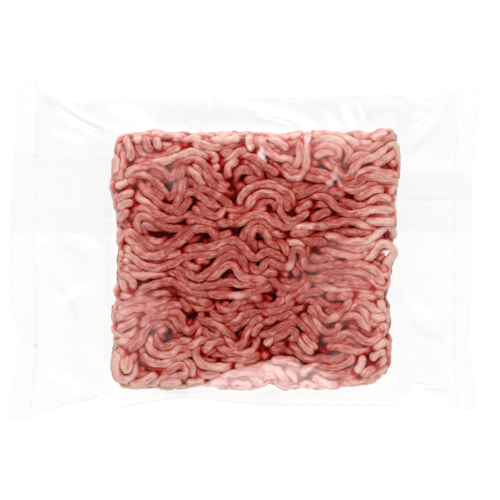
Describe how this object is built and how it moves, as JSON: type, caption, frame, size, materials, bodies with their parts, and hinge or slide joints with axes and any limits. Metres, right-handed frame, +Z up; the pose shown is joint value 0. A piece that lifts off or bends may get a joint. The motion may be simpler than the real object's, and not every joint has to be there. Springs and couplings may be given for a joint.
{
  "type": "flow-wrapped minced meat pack",
  "caption": "Flat block of raw minced meat sealed in a clear pillow bag of film, with a ribbed crimped seal across each end and a flat fin folded underneath.",
  "frame": {"origin": "on the floor, under the middle of the bag's outline", "axes": "+X along the pack from the left seal to the right seal, +Y across it towards the top edge as seen from above, +Z up"},
  "size_m": [0.236, 0.17, 0.033],
  "materials": {
    "film_over_mince": "clear glossy packing film drawn close over raw pink-red minced meat"
  },
  "bodies": {
    "root": {"film_bag": "film_over_mince"}
  },
  "joints": []
}
